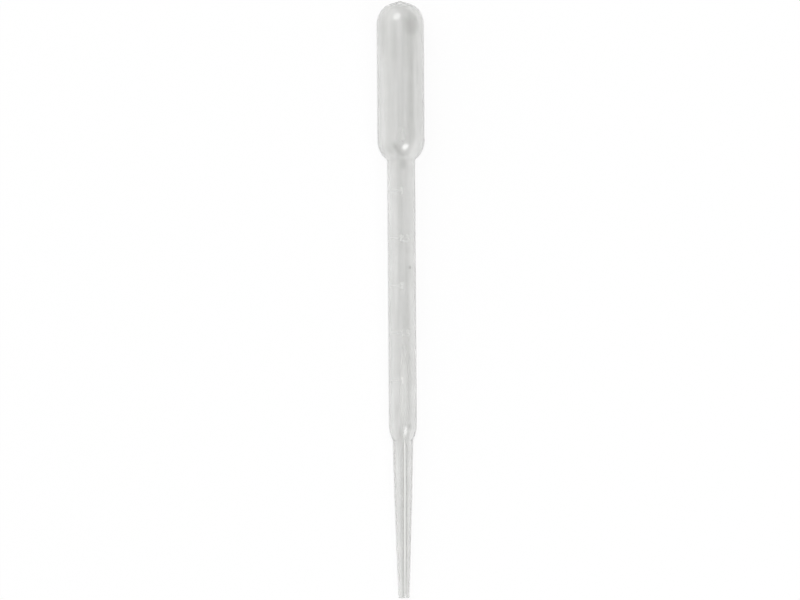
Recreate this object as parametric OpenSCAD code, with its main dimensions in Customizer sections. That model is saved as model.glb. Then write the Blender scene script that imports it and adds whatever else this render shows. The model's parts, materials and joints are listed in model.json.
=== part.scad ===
// Graduated transfer pipette, blow-moulded in one piece, lying on a level surface.
// Millimetres. The axis runs along Y with the tip towards -Y and the bulb towards +Y.
// It rests on the bulb's round lower end and on the stem's shoulder, so it leans a little.
// The origin is in the middle of its footprint, on the surface, and the scale faces +Z.

/* [Overall] */
// Length from the open end to the top of the pinched end
overall_l = 160; // [140:1:200]

/* [Bulb] */
// Outside diameter of the squeeze bulb
bulb_d = 12.7; // [10:0.1:16]
// Distance between the centres of the bulb's two round ends
bulb_run = 31; // [20:1:40]
// Wall of the bulb
bulb_wall = 0.4; // [0.25:0.05:0.8]
// Slope of the shallow cone that closes the bulb, in degrees
dome_slope = 16; // [8:1:30]
// Radius in the corner where the bulb meets the stem
neck_r = 0.4; // [0.2:0.1:1]

/* [Stem] */
// Outside diameter of the stem
stem_d = 7.5; // [6:0.1:9.5]
// Wall of the stem
stem_wall = 0.35; // [0.2:0.05:0.6]
// Radius of the rounded shoulder at the foot of the stem
shoulder_r = 9.5; // [5:0.1:12]

/* [Tip] */
// Length of the tapered tip, from the open end to the shoulder
tip_l = 42.4; // [30:0.1:52]
// Outside diameter of the tip where it leaves the shoulder
tip_root_d = 5.5; // [5:0.1:6]
// Distance from the open end to where the taper changes
tip_mid_l = 28.5; // [15:0.5:30]
// Outside diameter of the tip where the taper changes
tip_mid_d = 4.85; // [4:0.05:5]
// Outside diameter at the open end
tip_end_d = 3; // [2.4:0.1:4]
// Wall of the tip
tip_wall = 0.5; // [0.3:0.05:0.8]
// Rounding of the outer edge at the open end
lip_r = 0.25; // [0.1:0.05:0.3]

/* [Mould marks] */
// Height of the parting line along both sides
seam_h = 0.06; // [0.03:0.01:0.12]
// Width of the parting line
seam_w = 0.3; // [0.2:0.05:0.6]
// Height of the ridge where the bulb's end was pinched shut
pinch_h = 0.2; // [0.1:0.05:0.5]
// Length of the pinched ridge across the bulb's end
pinch_l = 5.9; // [3:0.1:8]
// Thickness of the pinched ridge
pinch_w = 0.8; // [0.4:0.1:1.5]

/* [Scale] */
// Distance from the open end to the lowest graduation
scale_from = 58.6; // [50:0.1:70]
// Distance from one graduation to the next
scale_step = 12.7; // [10:0.1:16]
// Length of a graduation line across the stem
tick_l = 2; // [1:0.1:2.4]
// Gap between the scale's middle line and the graduation lines on its left
tick_gap = 0.9; // [0.4:0.1:1]
// Height of the figures
figure_h = 1.8; // [1:0.1:2]
// Width of one figure
figure_w = 0.95; // [0.6:0.05:1]
// Width of the raised lines
stroke_w = 0.3; // [0.15:0.01:0.3]
// How far the scale stands out of the stem
scale_h = 0.07; // [0.04:0.01:0.2]

/* [Hidden] */
$fn = 96;
moulding_color = [0.86, 0.86, 0.83];

bulb_r = bulb_d / 2;
stem_r = stem_d / 2;
tip_root_r = tip_root_d / 2;
tip_mid_r = tip_mid_d / 2;
tip_end_r = tip_end_d / 2;

// Heights along the axis, from the open end
dome_z = overall_l - bulb_r;
neck_z = dome_z - bulb_run;
shoulder_set = shoulder_r - stem_r;
shoulder_z = tip_l + sqrt(pow(shoulder_r, 2) - pow(shoulder_set + tip_root_r, 2));

// How each surface lies inside the outer one, for the bulb, the stem and the tip
OUTER = [0, 0, 0];
SEAM = [-seam_h, -seam_h, -seam_h];
CAVITY = [bulb_wall, stem_wall, tip_wall];

// The labels from the lowest graduation up, each a list of figures
LABELS = [["1"], ["1", ".", "5"], ["2"], ["2", ".", "5"], ["3"]];
figure_gap = 0.22;
point_w = stroke_w;

// Overlap where two curves would otherwise only touch
hair = 0.002;

// Lean at which the bulb's lower end and the shoulder touch the surface together
lean = acos((shoulder_r - bulb_r) / norm([shoulder_set, neck_z - shoulder_z]))
    - atan2(neck_z - shoulder_z, shoulder_set);
rest_z = bulb_r - neck_z * sin(lean);
far_y = overall_l * cos(lean) + pinch_w / 2 * sin(lean);
near_y = -tip_end_r * sin(lean);

// Outline of the bulb: two round ends, straight between, closed by the shallow cone
module bulb_outline(inset) {
    r = bulb_r - inset[0];
    top = overall_l - pinch_h - inset[0];
    intersection() {
        union() {
            translate([0, dome_z])
                circle(r);
            translate([0, neck_z])
                circle(r);
            translate([-r, neck_z])
                square([2 * r, bulb_run]);
        }
        polygon([[-bulb_d, neck_z - bulb_d], [-bulb_d, top], [0, top],
            [bulb_d, top - bulb_d * tan(dome_slope)], [bulb_d, neck_z - bulb_d]]);
    }
}

// Outline of the small fillet under the bulb; its arc cuts a hair into both walls
module neck_outline(inset) {
    stem = stem_r - inset[1];
    r = neck_r + inset[1];
    drop = sqrt(pow(bulb_r - inset[0] + r, 2) - pow(stem + r, 2));
    translate([0, neck_z])
        difference() {
            polygon([[0, -drop], [stem + r, -drop], [0, 0]]);
            translate([stem + r, -drop])
                circle(r + hair);
        }
}

// Outline of the straight stem and its rounded shoulder
module stem_outline(inset) {
    r = stem_r - inset[1];
    translate([0, shoulder_z]) {
        square([r, neck_z - shoulder_z]);
        translate([-shoulder_set, 0])
            circle(r + shoulder_set);
    }
}

// Outline of the tip above its lip, carried on a little way inside the shoulder
module tip_outline(inset) {
    carried = (shoulder_z - tip_l) / 2;
    spread = carried * (tip_root_r - tip_mid_r) / (tip_l - tip_mid_l);
    polygon([[0, lip_r], [tip_end_r - inset[2], lip_r], [tip_mid_r - inset[2], tip_mid_l],
        [tip_root_r - inset[2] + spread, tip_l + carried], [0, tip_l + carried]]);
}

// Outline of the rounded lip
module lip_outline() {
    translate([tip_end_r - lip_r, lip_r])
        circle(lip_r);
    square([tip_end_r - lip_r, 2 * lip_r]);
}

// Outline of the bore through the lip
module lip_bore() {
    translate([0, -lip_r])
        square([tip_end_r - tip_wall, 3 * lip_r]);
}

// The outline on one side of the axis, further out than the given distance
module half_outline(inset, from) {
    intersection() {
        union() {
            bulb_outline(inset);
            neck_outline(inset);
            stem_outline(inset);
            tip_outline(inset);
            children();
        }
        translate([from, -overall_l])
            square([overall_l, 3 * overall_l]);
    }
}

module outer_form() {
    rotate_extrude()
        half_outline(OUTER, 0)
            lip_outline();
}

module cavity() {
    rotate_extrude()
        half_outline(CAVITY, 0)
            lip_bore();
}

// The raised line left on both sides by the two halves of the mould
module parting_line() {
    for (side = [0, 1])
        mirror([side, 0, 0])
            rotate([90, 0, 0])
                linear_extrude(seam_w, center = true)
                    half_outline(SEAM, tip_end_r / 2);
}

// The low ridge across the closed end, as high as the overall length
module pinched_ridge() {
    intersection() {
        rotate_extrude()
            polygon([[0, dome_z], [0, overall_l],
                [bulb_r, overall_l - bulb_r * tan(dome_slope)], [bulb_r, dome_z]]);
        translate([-pinch_l / 2, -pinch_w / 2, dome_z])
            cube([pinch_l, pinch_w, bulb_d]);
    }
}

// Part of a ring of stroke width, between two angles less than 220 degrees apart
module arc_stroke(r, from, to) {
    reach = 2 * r;
    middle = (from + to) / 2;
    intersection() {
        difference() {
            circle(r);
            circle(r - stroke_w);
        }
        polygon([[0, 0], reach * [cos(from), sin(from)],
            2 * reach * [cos(middle), sin(middle)], reach * [cos(to), sin(to)]]);
    }
}

// A straight line of stroke width from one point to another
module straight_stroke(from, to) {
    side = stroke_w / 2 / norm(to - from) * [from[1] - to[1], to[0] - from[0]];
    polygon([from + side, to + side, to - side, from - side]);
}

module figure_1() {
    translate([(figure_w - stroke_w) / 2, 0])
        square([stroke_w, figure_h]);
    translate([(figure_w - stroke_w) / 2 - stroke_w, figure_h - 1.5 * stroke_w])
        square([1.5 * stroke_w, stroke_w]);
}

module figure_2() {
    r = figure_w / 2;
    top = figure_h - r;
    translate([r, top])
        arc_stroke(r, -15, 165);
    straight_stroke([figure_w - stroke_w / 2, top], [0.6 * stroke_w, stroke_w / 2]);
    square([figure_w, stroke_w]);
}

module figure_3() {
    r = (figure_h + stroke_w) / 4;
    translate([figure_w - r, figure_h - r])
        arc_stroke(r, -90, 90);
    translate([figure_w - r, r])
        arc_stroke(r, -90, 90);
    for (y = [0, figure_h - stroke_w])
        translate([0, y])
            square([figure_w - r + stroke_w / 4, stroke_w]);
    translate([figure_w - 1.6 * r, (figure_h - stroke_w) / 2])
        square([0.6 * r + stroke_w / 4, stroke_w]);
}

module figure_5() {
    r = figure_h * 0.32;
    translate([0, figure_h - stroke_w])
        square([figure_w, stroke_w]);
    translate([0, 2 * r - stroke_w])
        square([stroke_w, figure_h - 2 * r + stroke_w]);
    translate([0, 2 * r - stroke_w])
        square([figure_w - r + stroke_w / 4, stroke_w]);
    translate([figure_w - r, r])
        arc_stroke(r, -90, 90);
    square([figure_w - r + stroke_w / 4, stroke_w]);
}

module figure(name) {
    if (name == "1") figure_1();
    if (name == "2") figure_2();
    if (name == "3") figure_3();
    if (name == "5") figure_5();
    if (name == ".") square(point_w);
}

// Where a figure starts: the widths and gaps of those before it
function figure_width(name) = name == "." ? point_w : figure_w;
function figure_x(label, i) = i == 0 ? 0 : figure_x(label, i - 1) + figure_width(label[i - 1]) + figure_gap;

// One graduation: its line on the left and its label on the right
module graduation(label) {
    translate([-tick_gap - tick_l, -stroke_w / 2])
        square([tick_l, stroke_w]);
    for (i = [0 : len(label) - 1])
        translate([figure_x(label, i) - tick_gap / 2, -figure_h / 2])
            figure(label[i]);
}

// The raised scale, wherever a graduation lies wholly on the straight stem
module scale_marks() {
    intersection() {
        rotate([90, 0, 0])
            linear_extrude(stem_d)
                for (i = [0 : len(LABELS) - 1]) {
                    z = scale_from + i * scale_step;
                    if (z > shoulder_z + figure_h && z < neck_z - bulb_r - figure_h)
                        translate([0, z])
                            graduation(LABELS[i]);
                }
        cylinder(r = stem_r + scale_h, h = neck_z);
    }
}

module pipette() {
    color(moulding_color)
        translate([0, -(far_y + near_y) / 2, rest_z])
            rotate([lean - 90, 0, 0])
                difference() {
                    union() {
                        outer_form();
                        parting_line();
                        pinched_ridge();
                        scale_marks();
                    }
                    cavity();
                }
}

pipette();
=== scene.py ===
# A one-piece squeeze pipette of milky polyethylene, lying on a white table and seen from straight above.
# Shapes are worked out in millimetres along the pipette's own axis, then placed in metres by the frame.
import json
import math
import random

import bmesh
import bpy
import numpy as np
from mathutils import Matrix, Vector


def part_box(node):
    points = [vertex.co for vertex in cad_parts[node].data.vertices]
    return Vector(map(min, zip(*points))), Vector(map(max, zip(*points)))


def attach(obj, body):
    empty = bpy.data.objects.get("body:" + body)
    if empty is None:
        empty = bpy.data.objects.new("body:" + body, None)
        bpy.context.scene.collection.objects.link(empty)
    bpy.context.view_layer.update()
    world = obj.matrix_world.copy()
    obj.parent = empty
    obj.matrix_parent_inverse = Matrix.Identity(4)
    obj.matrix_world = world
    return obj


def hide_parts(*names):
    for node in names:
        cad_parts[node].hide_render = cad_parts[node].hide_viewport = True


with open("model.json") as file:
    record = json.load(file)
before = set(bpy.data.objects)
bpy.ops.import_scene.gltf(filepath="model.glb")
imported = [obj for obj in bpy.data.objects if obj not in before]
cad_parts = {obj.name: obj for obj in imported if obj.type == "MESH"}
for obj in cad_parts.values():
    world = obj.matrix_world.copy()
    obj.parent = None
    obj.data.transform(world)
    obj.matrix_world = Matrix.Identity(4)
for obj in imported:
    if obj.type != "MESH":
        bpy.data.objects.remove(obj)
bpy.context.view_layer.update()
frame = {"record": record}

mm = 0.001
random.seed(7)
nodeName = "pipette"
boxLow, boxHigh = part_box(nodeName)
stemMount = frame["record"]["mounts"][0]
print("frame loaded, box in mm:", [round(v / mm, 2) for v in boxHigh - boxLow])


# Shader helper: arithmetic on a Wire adds Math nodes.

class Graph:
    def __init__(self, owner):
        owner.use_nodes = True
        self.tree = owner.node_tree
        self.tree.nodes.clear()

    def add(self, kind, settings=None, inputs=None, output=0):
        node = self.tree.nodes.new(kind)
        for name, value in (settings or {}).items():
            if name == "stops":
                self.setStops(node.color_ramp, value)
            else:
                setattr(node, name, value)
        for name, value in (inputs or {}).items():
            if isinstance(value, Wire):
                self.tree.links.new(value.socket, node.inputs[name])
            else:
                node.inputs[name].default_value = value
        return Wire(self, node.outputs[output] if node.outputs else None)

    def setStops(self, ramp, stops):
        while len(ramp.elements) < len(stops):
            ramp.elements.new(0.5)
        for element, (place, grey) in zip(ramp.elements, stops):
            element.position = place
            element.color = (grey, grey, grey, 1)


class Wire:
    def __init__(self, graph, socket):
        self.graph = graph
        self.socket = socket

    def maths(self, operation, first, second):
        return self.graph.add("ShaderNodeMath", {"operation": operation}, {0: first, 1: second})

    def __add__(self, other):
        return self.maths("ADD", self, other)

    def __mul__(self, other):
        return self.maths("MULTIPLY", self, other)

    def either(self, other):
        return self.maths("MAXIMUM", self, other)

    __radd__ = __add__
    __rmul__ = __mul__


# Where the pipette lies, and its sizes in millimetres.

moulding = {
    "sideRoom": 0.072,      # the box holds the seam too, and the marks stay inside it
    "bulbRun": 31.0,        # between the centres of the bulb's round ends
    "bulbWall": 0.4,
    "domeSlope": 16.0,      # degrees
    "domeWall": 0.36,
    "neckRound": 0.4,
    "stemWall": 0.35,
    "shoulderRound": 9.5,
    "tipLength": 42.4,
    "tipRoot": 2.75,        # radii of the tip
    "tipMiddle": 2.425,
    "tipMiddleHeight": 28.5,
    "tipEnd": 1.5,
    "tipWall": 0.5,
    "lipRound": 0.25,
    "mouthRound": 0.1,
    "pinchHeight": 0.2,
    "lift": 0.004,          # keeps the fine lines clear of the table
    "rowStep": 1.5,         # length of a plain row of faces
    "domeStep": 0.25,
    "arcRows": {"dome": 36, "bulbFoot": 24, "neck": 6, "shoulder": 16, "lip": 5, "mouth": 3},
}

stemRadius = stemMount["dims"]["r_mm"]
bulbRadius = (boxHigh.x - boxLow.x) / 2 / mm - moulding["sideRoom"]
upAxis = -Vector(stemMount["axis"]).normalized()
downFace = upAxis.cross(Vector((1, 0, 0)))

shoulderSet = moulding["shoulderRound"] - stemRadius
shoulderHeight = moulding["tipLength"] + math.sqrt(
    moulding["shoulderRound"] ** 2 - (shoulderSet + moulding["tipRoot"]) ** 2)
neckFoot = shoulderHeight + stemMount["dims"]["length_mm"]
neckDrop = math.sqrt(
    (bulbRadius + moulding["neckRound"]) ** 2 - (stemRadius + moulding["neckRound"]) ** 2)
neckHeight = neckFoot + neckDrop
domeHeight = neckHeight + moulding["bulbRun"]
topHeight = domeHeight + bulbRadius - moulding["pinchHeight"]

openEnd = Vector(stemMount["pos_m"]) - upAxis * (shoulderHeight + neckFoot) / 2 * mm
openEnd.z += moulding["lift"] * mm
laidDown = Matrix((
    (1, downFace.x, upAxis.x),
    (0, downFace.y, upAxis.y),
    (0, downFace.z, upAxis.z))).to_4x4()
placing = Matrix.Translation(openEnd) @ laidDown @ Matrix.Scale(mm, 4)


# The outline of the moulding is made of (distance from the axis, height) points.

def arc(centre, radius, start, stop, count):
    steps = [math.radians(start + (stop - start) * i / count) for i in range(count + 1)]
    return [(centre[0] + radius * math.cos(a), centre[1] + radius * math.sin(a)) for a in steps]


def straight(start, stop, step):
    count = max(1, round(math.dist(start, stop) / step))
    return [(start[0] + (stop[0] - start[0]) * i / count, start[1] + (stop[1] - start[1]) * i / count)
            for i in range(count + 1)]


def heightsBetween(low, high):
    # plain rows of the stem, without the two ends
    return [point[1] for point in straight((0, low), (0, high), moulding["rowStep"])][1:-1]


def wallOutline(bulbInset, stemInset, tipInset, domeInset, stemHeights):
    # down one side of the wall, from the closed end to the open end
    bulb = bulbRadius - bulbInset
    stem = stemRadius - stemInset
    fillet = moulding["neckRound"] + stemInset
    shoulder = moulding["shoulderRound"] - stemInset
    slope = math.tan(math.radians(moulding["domeSlope"]))
    top = topHeight - domeInset
    rows = moulding["arcRows"]
    # where the shallow cone meets the round end
    high = top - domeHeight
    kink = (high * slope + math.sqrt(bulb ** 2 * (1 + slope ** 2) - high ** 2)) / (1 + slope ** 2)
    kinkAngle = math.degrees(math.acos(kink / bulb))
    # where the bulb meets the fillet, and the shoulder the tip
    touch = math.degrees(math.acos((stem + fillet) / (bulb + fillet)))
    drop = math.sqrt((bulb + fillet) ** 2 - (stem + fillet) ** 2)
    footAngle = math.degrees(math.acos((shoulderSet + moulding["tipRoot"] - tipInset) / shoulder))

    points = straight((0, top), (kink, top - kink * slope), moulding["domeStep"])
    points += arc((0, domeHeight), bulb, kinkAngle, 0, rows["dome"])
    points += straight((bulb, domeHeight), (bulb, neckHeight), moulding["rowStep"])
    points += arc((0, neckHeight), bulb, 0, -touch, rows["bulbFoot"])
    points += arc((stem + fillet, neckHeight - drop), fillet, 180 - touch, 180, rows["neck"])
    points += [(stem, height) for height in stemHeights]
    points += arc((-shoulderSet, shoulderHeight), shoulder, 0, -footAngle, rows["shoulder"])
    middle = (moulding["tipMiddle"] - tipInset, moulding["tipMiddleHeight"])
    points += straight(points[-1], middle, moulding["rowStep"])
    points += straight(middle, (moulding["tipEnd"] - tipInset, moulding["lipRound"]), moulding["rowStep"])
    return points


# The raised scale: a short line and a figure for each graduation.

scale = {
    "lowest": 58.6,
    "step": 12.7,
    "labels": ["1", "1.5", "2", "2.5", "3"],
    "tickLength": 2.0,
    "tickGap": 0.9,
    "tickShare": 0.9,       # the lines stand out less than the figures
    "figureHeight": 1.8,
    "figureWidth": 0.95,
    "figureGap": 0.22,
    "stroke": 0.3,
    "bellyShare": 0.32,     # radius of the 5's belly, in figure heights
    "middleBar": 1.6,       # length of the 3's middle bar, in radii of its loops
    "height": 0.07,
    "softness": 0.1,
    "rowStep": 0.08,        # fine rows across each graduation
    "reach": 1.0,           # how far the fine rows go above and below it
}
farAway = 99.0              # further than any stroke, in millimetres


def figureStrokes(name):
    # the middle lines of a figure's strokes, measured from its lower left corner
    width, height, half = scale["figureWidth"], scale["figureHeight"], scale["stroke"] / 2
    loop = (height + 2 * half) / 4 - half
    belly = height * scale["bellyShare"] - half
    if name == "1":
        return [("line", (width / 2, half), (width / 2, height - half)),
                ("line", (width / 2, height - 2 * half), (width / 2 - 3 * half, height - 2 * half))]
    if name == "2":
        bend = width / 2 - half
        return [("arc", (width / 2, height - width / 2), bend, -15, 180),
                ("line", (width - half, height - width / 2), (half, half)),
                ("line", (half, half), (width - half, half))]
    if name == "3":
        bar = scale["middleBar"] * loop
        return [("arc", (width - half - loop, height - half - loop), loop, -90, 90),
                ("arc", (width - half - loop, half + loop), loop, -90, 90),
                ("line", (half, height - half), (width - half - loop, height - half)),
                ("line", (half, half), (width - half - loop, half)),
                ("line", (width - half - bar, height / 2), (width - half - loop, height / 2))]
    if name == "5":
        return [("line", (half, height - half), (width - half, height - half)),
                ("line", (half, height - half), (half, 2 * belly + half)),
                ("line", (half, 2 * belly + half), (width - half - belly, 2 * belly + half)),
                ("arc", (width - half - belly, half + belly), belly, -90, 90),
                ("line", (half, half), (width - half - belly, half))]
    return [("line", (half, half), (half, half))]   # the point


def strokeGap(x, z, stroke):
    # distance from every point to the middle line of one stroke
    if stroke[0] == "line":
        (x0, z0), (x1, z1) = stroke[1:]
        squared = max((x1 - x0) ** 2 + (z1 - z0) ** 2, 1e-9)    # a point has no length
        along = np.clip(((x - x0) * (x1 - x0) + (z - z0) * (z1 - z0)) / squared, 0, 1)
        return np.hypot(x - x0 - along * (x1 - x0), z - z0 - along * (z1 - z0))
    (cx, cz), radius, start, stop = stroke[1:]
    turn = np.degrees(np.arctan2(z - cz, x - cx))
    turn = np.radians(np.clip((turn - start + 90) % 360 + start - 90, start, stop))
    return np.hypot(x - cx - radius * np.cos(turn), z - cz - radius * np.sin(turn))


def softStep(values, edge, softness):
    # 1 within the edge and 0 beyond it, with a soft border
    share = np.clip((edge + softness / 2 - values) / softness, 0, 1)
    return share * share * (3 - 2 * share)


def hump(distance, width):
    # a smooth swelling across a line
    return np.exp(-(distance * 2 / width) ** 2)


def scaleShare(x, z):
    # how far each point stands out: 1 on a figure's stroke, 0 beside it
    left, half, soft = -scale["tickGap"], scale["stroke"] / 2, scale["softness"]
    share = np.zeros(len(x))
    for i, label in enumerate(scale["labels"]):
        row = z - scale["lowest"] - i * scale["step"]
        tick = strokeGap(x, row, ("line", (left - scale["tickLength"], 0), (left, 0)))
        share = np.maximum(share, scale["tickShare"] * softStep(tick, half, soft))
        gap = np.full(len(x), farAway)
        start = left / 2
        for name in label:
            for stroke in figureStrokes(name):
                gap = np.minimum(gap, strokeGap(x - start, row + scale["figureHeight"] / 2, stroke))
            start += (scale["stroke"] if name == "." else scale["figureWidth"]) + scale["figureGap"]
        share = np.maximum(share, softStep(gap, half, soft))
    return share


# The body is turned in sectors, fine where the seams and the scale are.

turning = {
    "start": -7,            # degrees from +X
    "sectors": [(14, 12), (166, 44), (14, 12), (37, 14), (86, 86), (43, 16)],   # degrees and steps
    "shortest": 1e-3,       # nearer points of the outline are one point
    "mergeGap": 1e-4,       # and nearer ones of the turned wall are merged
}


def stemRows():
    fine = []
    plain = []
    low = shoulderHeight
    for i in range(len(scale["labels"])):
        middle = scale["lowest"] + i * scale["step"]
        start, stop = middle - scale["reach"], middle + scale["reach"]
        fine += [point[1] for point in straight((0, start), (0, stop), scale["rowStep"])]
        plain += heightsBetween(low, start)
        low = stop
    plain += heightsBetween(low, neckFoot)
    return sorted(fine + plain, reverse=True)


def turnWall():
    rows = moulding["arcRows"]
    lip = moulding["lipRound"]
    mouth = moulding["mouthRound"]
    bore = moulding["tipEnd"] - moulding["tipWall"]
    outer = wallOutline(0, 0, 0, 0, stemRows())
    outer += arc((moulding["tipEnd"] - lip, lip), lip, 0, -90, rows["lip"])
    inner = wallOutline(moulding["bulbWall"], moulding["stemWall"], moulding["tipWall"],
                        moulding["domeWall"], heightsBetween(neckFoot, shoulderHeight))
    inner += arc((bore + mouth, mouth), mouth, 180, 270, rows["mouth"])

    bm = bmesh.new()
    outside = bm.verts.layers.float.new("outside")
    turn = math.radians(turning["start"])
    verts = []
    for share, outline in ((1, outer), (0, reversed(inner))):
        for radius, height in outline:
            place = Vector((radius * math.cos(turn), radius * math.sin(turn), height))
            if not verts or (verts[-1].co - place).length > turning["shortest"]:
                verts.append(bm.verts.new(place))
                verts[-1][outside] = share
    edges = [bm.edges.new(pair) for pair in zip(verts, verts[1:])]
    last = verts + edges
    for angle, steps in turning["sectors"]:
        made = bmesh.ops.spin(
            bm, geom=last, cent=(0, 0, 0), axis=(0, 0, 1), dvec=(0, 0, 0),
            angle=math.radians(angle), steps=steps, use_merge=False, use_duplicate=False)
        last = made["geom_last"]
    bmesh.ops.remove_doubles(bm, verts=bm.verts[:], dist=turning["mergeGap"])
    bmesh.ops.recalc_face_normals(bm, faces=bm.faces[:])
    mesh = bpy.data.meshes.new("pipetteBody")
    bm.to_mesh(mesh)
    bm.free()
    return mesh


# The mould's marks are pushed in or out of the turned wall.

relief = {
    "dieLines": 0.008,      # height of the fine lengthwise lines
    "dieCycles": (9, 13, 17, 22, 27, 34),
    "dieDrift": 0.02,       # how fast they turn along the pipette, radians a millimetre
    "plainEnd": 2.0,        # these lines and the seam start this far up
    "unevenWall": 0.025,    # how far the inside wanders
    "unevenCycles": (2, 3, 4, 5),
    "unevenDrift": 0.03,
    "unevenStart": 5.0,     # it grows over this length, from the shoulder up
    "swellShare": 0.4,      # how much each ripple comes and goes
    "swellRate": 0.1,       # radians a millimetre
    "seamHeight": 0.02,
    "seamWidth": 0.3,
    "seamSoftness": 0.12,
    "seamRadius": 1.0,      # it fades out towards this distance from the axis
    "domeShare": 0.6,       # the closed end's marks start this many bulb radii over its centre
    "pinchWidth": 0.8,
    "pinchLength": 5.9,
    "pinchRise": 0.1,
    "pinchSoftness": (0.2, 0.4),    # across and at its ends
    "weld": [(-2.5, 158.5), (-0.9, 159.05), (-0.25, 158.5), (0.8, 159.1), (2.9, 158.5)],
    "weldDepth": 0.05,
    "weldWidth": 0.2,
    "ribAt": 0.26,          # to the right of the axis at the open end
    "ribSlant": 0.006,
    "ribWidth": 0.45,
    "ribHeight": 0.05,
    "ribStart": 0.3,        # its share of the height at the open end
    "ribGrowth": 16.0,      # the length over which that share would grow by one
    "ribLip": 0.3,          # the lip below this is plain
    "ribPast": 1.0,         # how far it runs on past the tip's root
    "ribFade": 2.0,         # and the length over which it ends there
    "grooveAt": 0.47,       # from the rib's middle
    "grooveWidth": 0.3,
    "grooveDepth": 0.04,
    "grooveShares": (1.3, 0.7),     # left and right of the rib
}


def wave(angle, height, cycles, drift):
    # a seeded sum of ripples round the axis that turns slowly with the height
    swellShare = relief["swellShare"]
    total = np.zeros(len(angle))
    for count in cycles:
        phase = random.uniform(0, 2 * math.pi)
        bend = random.uniform(-drift, drift) * count
        swell = random.uniform(0, 2 * math.pi)
        size = 1 - swellShare + swellShare * np.sin(height * relief["swellRate"] + swell)
        total += np.sin(count * angle + phase + bend * height) * size
    return total / len(cycles)


def meshVectors(mesh, name):
    values = np.zeros(len(mesh.vertices) * 3)
    mesh.vertices.foreach_get(name, values)
    return values.reshape(-1, 3)


def ribAndGroove(x, y, z):
    # a fine rib runs down the tip between two shallow grooves; their masks also carry a painted light line
    # along the rib and painted shade along the grooves
    across = x - relief["ribAt"] - relief["ribSlant"] * z
    fade = np.clip(relief["ribStart"] + z / relief["ribGrowth"], 0, 1) * np.clip(z - relief["ribLip"], 0, 1)
    fade *= np.clip((moulding["tipLength"] + relief["ribPast"] - z) / relief["ribFade"], 0, 1) * (y < 0)
    groove = fade * hump(np.abs(across) - relief["grooveAt"], relief["grooveWidth"])
    groove *= np.where(across < 0, *relief["grooveShares"])
    return fade * hump(across, relief["ribWidth"]), groove


def dressWall(mesh):
    count = len(mesh.vertices)
    places = meshVectors(mesh, "co")
    normals = meshVectors(mesh, "normal")
    outside = np.zeros(count)
    mesh.attributes["outside"].data.foreach_get("value", outside)
    outside = outside > 0.5
    x, y, z = places.T
    radius = np.hypot(x, y)
    angle = np.arctan2(y, x)

    push = np.zeros(count)
    body = outside & (z > relief["plainEnd"])
    lines = relief["dieLines"] * wave(angle, z, relief["dieCycles"], relief["dieDrift"])
    push[body] += (lines * np.clip(radius / stemRadius, 0, 1))[body]
    seam = relief["seamHeight"] * softStep(np.abs(y), relief["seamWidth"] / 2, relief["seamSoftness"])
    push[body] += (seam * np.clip(radius - relief["seamRadius"], 0, 1))[body]
    inside = ~outside & (z > shoulderHeight)
    uneven = wave(angle, z, relief["unevenCycles"], relief["unevenDrift"])
    uneven *= relief["unevenWall"] * radius / bulbRadius
    push[inside] += (uneven * np.clip((z - shoulderHeight) / relief["unevenStart"], 0, 1))[inside]

    # the pinched ridge across the closed end, and the weld line below it
    dome = outside & (z > domeHeight + bulbRadius * relief["domeShare"])
    pinch = softStep(np.abs(y), relief["pinchWidth"] / 2, relief["pinchSoftness"][0])
    pinch *= softStep(np.abs(x), relief["pinchLength"] / 2, relief["pinchSoftness"][1])
    push[dome] += (relief["pinchRise"] * pinch)[dome]
    gap = np.full(count, farAway)
    for start, stop in zip(relief["weld"], relief["weld"][1:]):
        gap = np.minimum(gap, strokeGap(x, z, ("line", start, stop)))
    weld = hump(gap, relief["weldWidth"]) * dome
    push -= relief["weldDepth"] * weld

    rib, groove = ribAndGroove(x, y, z)
    push += outside * (relief["ribHeight"] * rib - relief["grooveDepth"] * groove)

    front = outside & (y < 0) & (z > shoulderHeight) & (z < neckFoot)
    raised = np.zeros(count)
    raised[front] = scaleShare(x[front], z[front])
    push += scale["height"] * raised
    places += normals * push[:, None]

    mesh.vertices.foreach_set("co", places.ravel())
    # the rib and groove masks also carry the painted light line and the painted shade to the material
    for name, values in (("scale", raised), ("weld", weld), ("rib", rib), ("groove", groove)):
        mesh.attributes.new(name, "FLOAT", "POINT").data.foreach_set("value", values)
    mesh.attributes.remove(mesh.attributes["outside"])


def makeBody():
    mesh = turnWall()
    dressWall(mesh)
    mesh.transform(placing)
    mesh.shade_smooth()
    piece = bpy.data.objects.new("pipetteBody", mesh)
    bpy.context.scene.collection.objects.link(piece)
    triangles = sum(len(face.vertices) - 2 for face in mesh.polygons)
    print("body turned:", len(mesh.vertices), "vertices,", triangles, "triangles")
    return piece


# Milky polyethylene, with painted shade and painted light in places.

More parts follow.
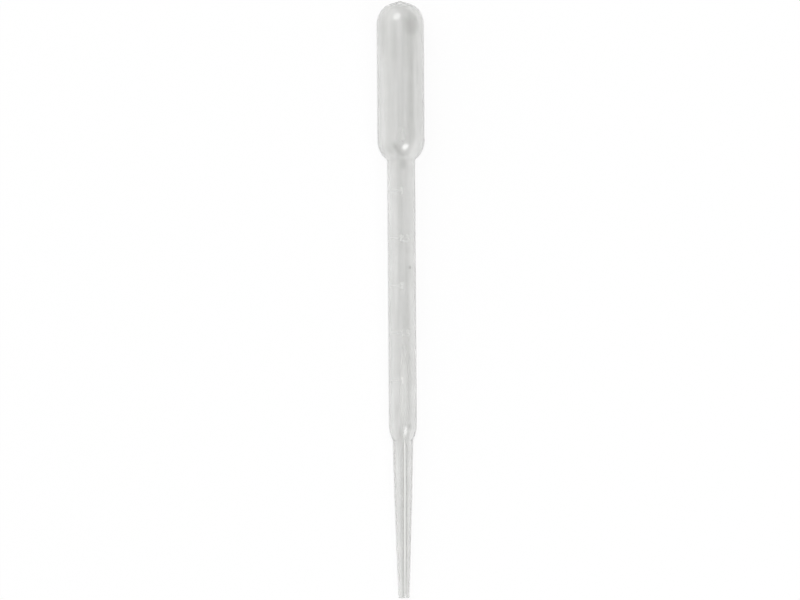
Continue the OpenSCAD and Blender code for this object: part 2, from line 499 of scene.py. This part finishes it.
plastic = {
    "colour": (0.995, 0.995, 0.99),
    "colourDeep": (0.9, 0.902, 0.892),
    # painted shade and the real dark marks share this colour
    "colourThick": (0.55, 0.55, 0.53),
    "transmission": 1.0,
    "roughness": (0.07, 0.12),
    "gloss": 1.0,               # a smooth skin over the milky wall
    "glossRoughness": 0.23,
    "ior": 1.5,
    "haze": (0.07, 0.13),       # share of milky white in the wall
    "hazeColour": (0.885, 0.888, 0.868),
    "scaleHaze": 0.2,           # what the frosted scale adds, and the painted light line along the rib
    "ribHaze": 0.8,
    "weldDark": 0.4,
    "grooveDark": 0.5,
    # patterns in the wall: the noise's scale and detail
    "clouds": (160.0, 3.0),
    "bands": (420.0, 1.0),
    "lines": (1100.0, 2.0),
    "streakStretch": 0.04,      # bands and lines are drawn out along the pipette
    "deepShares": (0.2, 0.45, 0.35),    # of the clouds, bands and lines
    "deepFrom": 0.41,           # their sum at the plain colour and at the deep one
    "deepTo": 0.59,
    "bumpStrength": 0.25,
    "bumpDistance": 0.00004,
    # a patch of painted shade or painted light fades out between these shares of its size
    "spotInner": 0.2,
    "spotOuter": 1.3,
    # painted shade: darker places that stand in for the studio's dark reflections and refractions in the
    # curved wall, and one real speck: where in mm, size across and along, how dark
    "thick": [
        ((3.1, -5.5, 153.2), 2.9, 3.0, 0.5),
        ((3.2, -5.5, 148.0), 1.6, 6.5, 0.22),
        ((-4.8, -4.2, 150.5), 1.7, 8.0, 0.3),
        ((-3.3, -5.2, 149.5), 3.4, 9.0, 0.12),
        ((-1.4, -6.1, 146.5), 1.3, 7.0, 0.16),
        ((3.1, -5.6, 134.0), 1.2, 13.5, 0.3),
        ((3.7, -5.2, 124.6), 0.6, 2.6, 0.22),
        ((-1.65, -6.0, 121.5), 1.0, 1.1, 0.36),
        ((-1.15, -5.9, 120.5), 1.0, 1.1, 0.36),
        ((-0.45, -5.6, 119.6), 1.0, 1.0, 0.34),
        ((0.35, -5.2, 118.9), 1.0, 0.9, 0.3),
        ((0.6, -3.7, 116.4), 1.1, 1.5, 0.32),
        ((-1.8, -3.3, 50.0), 1.0, 6.5, 0.26),
        ((-0.6, -3.4, 44.4), 0.55, 2.0, 0.35),
        ((1.95, -3.2, 46.1), 0.8, 1.0, 0.4),
        # a real dark speck in the plastic
        ((2.2, -3.0, 88.8), 0.5, 0.5, 0.9),
    ],
    # painted light: whiter milky places that lighten the wall's tone, in the same terms, and how white
    "cloudy": [
        ((0.3, -6.3, 124.0), 1.4, 3.2, 0.2),
        ((0.6, -3.7, 65.0), 1.2, 9.0, 0.16),
        ((0.4, -3.7, 53.8), 1.3, 12.0, 0.38),
    ],
}


def spots(graph, alongBody, places):
    total = 0.0
    for place, width, length, strength in places:
        # the axis runs along Y here, and the scale faces Z
        middle = Vector((place[0], place[2], -place[1])) * mm
        spot = graph.add("ShaderNodeMapping", {"vector_type": "TEXTURE"}, {
            "Vector": alongBody, "Location": middle, "Scale": (width * mm, length * mm, width * mm)})
        gap = graph.add("ShaderNodeVectorMath", {"operation": "LENGTH"}, {0: spot}, output="Value")
        fade = graph.add("ShaderNodeMapRange", {"interpolation_type": "SMOOTHSTEP", "clamp": True}, {
            "Value": gap, "From Min": plastic["spotOuter"], "From Max": plastic["spotInner"],
            "To Min": 0.0, "To Max": strength})
        total = total + fade
    return total


def noise(graph, vector, name):
    size, detail = plastic[name]
    return graph.add("ShaderNodeTexNoise", {"noise_dimensions": "3D"},
                     {"Vector": vector, "Scale": size, "Detail": detail, "Roughness": 0.5})


def milkyPlastic():
    material = bpy.data.materials.new("milkyPolyethylene")
    graph = Graph(material)
    coords = graph.add("ShaderNodeTexCoord", output="Object")
    lean = math.asin(upAxis.z)
    # turned so that the pattern runs along the pipette
    alongBody = graph.add("ShaderNodeMapping", {"vector_type": "TEXTURE"},
                          {"Vector": coords, "Location": openEnd, "Rotation": (lean, 0, 0)})
    streaks = graph.add("ShaderNodeMapping", {"vector_type": "POINT"},
                        {"Vector": alongBody, "Scale": (1, plastic["streakStretch"], 1)})
    clouds = noise(graph, alongBody, "clouds")
    bands = noise(graph, streaks, "bands")
    lines = noise(graph, streaks, "lines")
    cloudShare, bandShare, lineShare = plastic["deepShares"]
    deep = graph.add("ShaderNodeMapRange", {"clamp": True}, {
        "Value": cloudShare * clouds + bandShare * bands + lineShare * lines,
        "From Min": plastic["deepFrom"], "From Max": plastic["deepTo"]})
    tone = graph.add("ShaderNodeMix", {"data_type": "RGBA"}, {
        "Factor": deep, "A": (*plastic["colour"], 1), "B": (*plastic["colourDeep"], 1)}, output="Result")
    marks = {}
    for name in ("scale", "weld", "rib", "groove"):
        marks[name] = graph.add("ShaderNodeAttribute", {"attribute_name": name}, output="Fac")
    thick = spots(graph, alongBody, plastic["thick"])
    # painted shade: the shade patches and the grooves darken the wall's colour; the weld lines and the
    # speck are real dark marks
    base = graph.add("ShaderNodeMix", {"data_type": "RGBA"}, {
        "Factor": thick + plastic["weldDark"] * marks["weld"] + plastic["grooveDark"] * marks["groove"],
        "A": tone, "B": (*plastic["colourThick"], 1)}, output="Result")
    low, high = plastic["roughness"]
    roughness = low + (high - low) * clouds
    bump = graph.add("ShaderNodeBump", None, {
        "Strength": plastic["bumpStrength"], "Distance": plastic["bumpDistance"], "Height": lines})
    clear = graph.add("ShaderNodeBsdfPrincipled", None, {
        "Base Color": base, "Roughness": roughness, "IOR": plastic["ior"],
        "Transmission Weight": plastic["transmission"], "Coat Weight": plastic["gloss"],
        "Coat Roughness": plastic["glossRoughness"], "Normal": bump})
    milk = graph.add("ShaderNodeBsdfDiffuse", None, {"Color": (*plastic["hazeColour"], 1)})
    low, high = plastic["haze"]
    # painted light: the light patches brighten the milky share in these places
    haze = low + (high - low) * clouds + spots(graph, alongBody, plastic["cloudy"])
    # painted light: the rib's bright line; the frosted scale is the plastic's own
    haze = haze + plastic["scaleHaze"] * marks["scale"] + plastic["ribHaze"] * marks["rib"]
    surface = graph.add("ShaderNodeMixShader", None, {"Fac": haze, 1: clear, 2: milk})
    graph.add("ShaderNodeOutputMaterial", None, {"Surface": surface})
    return material


# Table, light and camera, in metres.

studio = {
    "floorSize": 3.0,
    "floorDrop": 0.00002,       # the table lies a hair under the pipette
    "floorGrey": 0.9,
    "floorWhite": 0.93,         # share of plain white that the camera sees
    # how bright the studio's sides are, in stops that run this way across it
    "sidesToward": (0.92, -0.38),
    "sides": [(0, 1.0), (0.1, 1.0), (0.22, 0.82), (0.36, 0.35),
              (0.6, 0.24), (0.8, 0.06), (0.9, 0.4), (1, 1.1)],
    "lights": [                 # direction, width, length and power of each soft light
        ((-0.27, 0.66, 0.70), 0.58, 0.5, 1.4),
        ((0.36, -0.45, 0.81), 0.5, 0.42, 1.8),
    ],
    "lightDistance": 0.9,
    "overhead": (1.4, 1.3, 9.0),    # the broad light's size, height and power
    "cameraHeight": 1.2,
    "sensorWidth": 36,
    "viewWidth": 0.2139,
    "cameraX": -0.00055,
    "roll": -0.38,              # degrees
    "bounces": 32,
    "glossyBounces": 12,
    "brightestBounce": 2.0,
}


def makeFloor():
    bm = bmesh.new()
    bmesh.ops.create_grid(bm, x_segments=1, y_segments=1, size=studio["floorSize"] / 2)
    bmesh.ops.translate(bm, verts=bm.verts[:], vec=(0, 0, -studio["floorDrop"]))
    mesh = bpy.data.meshes.new("table")
    bm.to_mesh(mesh)
    bm.free()
    floor = bpy.data.objects.new("table", mesh)
    bpy.context.scene.collection.objects.link(floor)
    material = bpy.data.materials.new("whiteTable")
    graph = Graph(material)
    # the camera, reflections and what shows through the plastic see almost plain white
    seen = graph.add("ShaderNodeLightPath", output="Is Camera Ray")
    glossy = graph.add("ShaderNodeLightPath", output="Is Glossy Ray")
    through = graph.add("ShaderNodeLightPath", output="Is Transmission Ray")
    matt = graph.add("ShaderNodeBsdfDiffuse", None, {"Color": (studio["floorGrey"],) * 3 + (1,)})
    white = graph.add("ShaderNodeEmission", None, {"Color": (1, 1, 1, 1), "Strength": 1.0})
    share = seen.either(glossy).either(through) * studio["floorWhite"]
    mixed = graph.add("ShaderNodeMixShader", None, {"Fac": share, 1: matt, 2: white})
    graph.add("ShaderNodeOutputMaterial", None, {"Surface": mixed})
    material.cycles.emission_sampling = "NONE"
    mesh.materials.append(material)
    return floor


def makeWorld():
    world = bpy.data.worlds.new("studio")
    bpy.context.scene.world = world
    graph = Graph(world)
    direction = graph.add("ShaderNodeTexCoord", output="Generated")
    right = graph.add("ShaderNodeSeparateXYZ", None, {"Vector": direction}, output="X")
    away = graph.add("ShaderNodeSeparateXYZ", None, {"Vector": direction}, output="Y")
    # from 0 on one side of the studio to 1 on the other
    share = 0.5 + 0.5 * (studio["sidesToward"][0] * right + studio["sidesToward"][1] * away)
    sides = graph.add("ShaderNodeValToRGB", {"stops": studio["sides"]}, {"Fac": share})
    sky = graph.add("ShaderNodeBackground", None, {"Color": sides, "Strength": 1.0})
    graph.add("ShaderNodeOutputWorld", None, {"Surface": sky})
    world.cycles.sampling_method = "NONE"


def areaLight(name, size, power):
    light = bpy.data.lights.new(name, "AREA")
    light.size = size
    light.energy = power
    lamp = bpy.data.objects.new(name, light)
    bpy.context.scene.collection.objects.link(lamp)
    return lamp


def makeLights():
    for i, (toward, width, length, power) in enumerate(studio["lights"]):
        lamp = areaLight("softLight%d" % (i + 1), width, power)
        lamp.data.shape = "ELLIPSE"
        lamp.data.size_y = length
        lamp.location = Vector(toward).normalized() * studio["lightDistance"]
        lamp.rotation_euler = Vector(toward).to_track_quat("Z", "Y").to_euler()
    size, height, power = studio["overhead"]
    lamp = areaLight("overhead", size, power)
    lamp.location = (0, 0, height)
    lamp.visible_glossy = False
    lamp.visible_transmission = False


def makeCamera():
    camera = bpy.data.cameras.new("camera")
    camera.sensor_width = studio["sensorWidth"]
    camera.lens = studio["sensorWidth"] * studio["cameraHeight"] / studio["viewWidth"]
    camera.clip_start = 0.01
    holder = bpy.data.objects.new("camera", camera)
    middle = (boxLow + boxHigh) / 2
    holder.location = (middle.x + studio["cameraX"], middle.y, middle.z + studio["cameraHeight"])
    holder.rotation_euler = (0, 0, math.radians(studio["roll"]))
    bpy.context.scene.collection.objects.link(holder)
    bpy.context.scene.camera = holder


body = makeBody()
body.data.materials.append(milkyPlastic())
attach(body, "root")
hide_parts(nodeName)
print("plastic set")

floor = makeFloor()
makeWorld()
makeLights()
makeCamera()
scene = bpy.context.scene
scene.view_settings.view_transform = "Standard"
scene.cycles.use_denoising = True
scene.cycles.max_bounces = studio["bounces"]
scene.cycles.transmission_bounces = studio["bounces"]
scene.cycles.glossy_bounces = studio["glossyBounces"]
scene.cycles.sample_clamp_indirect = studio["brightestBounce"]
print("studio set")
